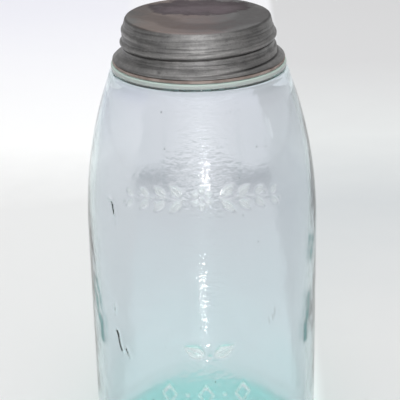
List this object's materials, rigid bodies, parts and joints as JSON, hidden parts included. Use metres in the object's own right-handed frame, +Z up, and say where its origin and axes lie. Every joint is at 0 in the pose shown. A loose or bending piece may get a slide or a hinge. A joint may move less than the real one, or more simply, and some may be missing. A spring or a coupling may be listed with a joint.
{
  "type": "canning jar",
  "caption": "Tall glass canning jar with a long rounded shoulder, closed by a ridged zinc screw cap with an opal glass liner over a rubber sealing ring.",
  "frame": {"origin": "middle of the base, on the surface the jar stands on", "axes": "+Z up along the jar's axis; -Y is the front, the side that the picture shows"},
  "size_m": [0.1142, 0.1142, 0.232],
  "materials": {
    "aqua_glass": "clear pale aqua, pressed and blown, with seeds and ripples",
    "aged_rubber": "aged red brown, matte",
    "opal_glass": "opaque milk white, gloss",
    "weathered_zinc": "weathered grey zinc with brown patina on the top"
  },
  "bodies": {
    "jar": {"glass_jar": "aqua_glass", "rubber_ring": "aged_rubber"},
    "liner": {"opal_liner": "opal_glass"},
    "cap": {"zinc_cap": "weathered_zinc"}
  },
  "joints": [
    {"name": "cap_rise", "type": "slide", "parent": "jar", "child": "liner", "axis": [0, 0, 1], "range_m": [0, 0.0254]},
    {"name": "cap_turn", "type": "hinge", "parent": "liner", "child": "cap", "pos_m": [0, 0, 0.2102], "axis": [0, 0, 1], "range_deg": [0, 1440]}
  ],
  "couplings": [
    {"joint": "cap_rise", "follows": "cap_turn", "m_per_rad": 0.0010106}
  ]
}
